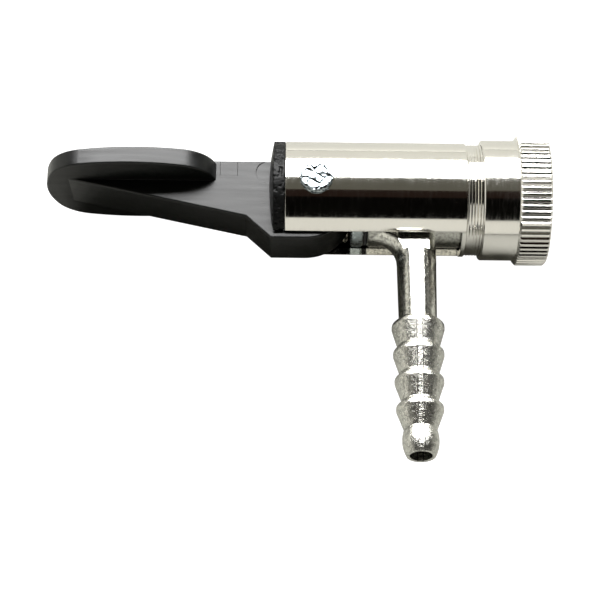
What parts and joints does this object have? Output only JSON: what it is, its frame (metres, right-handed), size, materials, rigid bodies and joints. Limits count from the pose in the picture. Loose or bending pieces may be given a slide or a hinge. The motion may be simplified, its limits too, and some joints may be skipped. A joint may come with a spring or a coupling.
{
  "type": "tyre valve connector",
  "caption": "Lever-lock tyre valve connector: slotted metal tube with knurled screw cap, black cam lever, sliding piston and barbed hose tail.",
  "frame": {"origin": "centre of the tyre valve mouth, on the front face of the screw cap", "axes": "+X along the tube towards the screw cap, out of the valve mouth; -Y the way the hose tail points; +Z along the lever pivot"},
  "size_m": [0.0836, 0.0578, 0.0218],
  "materials": {
    "nickel_plated_tube": "bright nickel plate over fine turning lines",
    "nickel_plated_cap": "bright nickel plate, straight knurl",
    "cast_nickel": "satin nickel plate over a casting",
    "zinc_rivet": "bluish zinc, peened",
    "zinc_disc": "bluish zinc, turned",
    "black_plastic_lever": "satin moulded nylon",
    "black_plastic_cap": "satin moulded nylon with a rough edge",
    "rubber": "matt",
    "fibre": "matt",
    "brass": "turned",
    "spring_steel": "drawn wire"
  },
  "bodies": {
    "tube": {"body_tube": "nickel_plated_tube", "end_cap": "black_plastic_cap", "pivot_rivet": "zinc_rivet", "clamp_seal": "rubber"},
    "lever": {"lever": "black_plastic_lever"},
    "thrust": {"thrust_disc": "zinc_disc", "swivel_washer": "fibre"},
    "piston": {"piston_elbow": "cast_nickel", "seat_bush": "brass", "rear_plug": "brass", "plug_seal": "rubber", "poppet_spring": "spring_steel"},
    "poppet": {"poppet": "brass", "poppet_seal": "rubber"},
    "cap_carrier": {"front_washer": "brass"},
    "cap": {"union_cap": "nickel_plated_cap"}
  },
  "joints": [
    {"name": "lever_turn", "type": "hinge", "parent": "tube", "child": "lever", "pos_m": [-0.03842, -0.00042, 0], "axis": [0, 0, 1], "range_deg": [0, 90]},
    {"name": "piston_slide", "type": "slide", "parent": "tube", "child": "thrust", "axis": [1, 0, 0], "range_m": [0, 0.00292], "deforming": ["clamp_seal"]},
    {"name": "nozzle_swivel", "type": "hinge", "parent": "thrust", "child": "piston", "pos_m": [-0.0218, 0, 0], "axis": [1, 0, 0], "range_deg": [-1, 18]},
    {"name": "poppet_slide", "type": "slide", "parent": "piston", "child": "poppet", "axis": [-1, 0, 0], "range_m": [0, 0.0015], "stiffness_N_per_m": 300, "springref_m": -0.003, "deforming": ["poppet_spring"]},
    {"name": "cap_travel", "type": "slide", "parent": "tube", "child": "cap_carrier", "axis": [1, 0, 0], "range_m": [0, 0.001]},
    {"name": "cap_turn", "type": "hinge", "parent": "cap_carrier", "child": "cap", "pos_m": [0, 0, 0], "axis": [1, 0, 0], "range_deg": [0, 720]}
  ],
  "couplings": [
    {"joint": "lever_turn", "follows": "piston_slide", "rad_per_m": 537.9},
    {"joint": "cap_turn", "follows": "cap_travel", "rad_per_m": 12566}
  ]
}
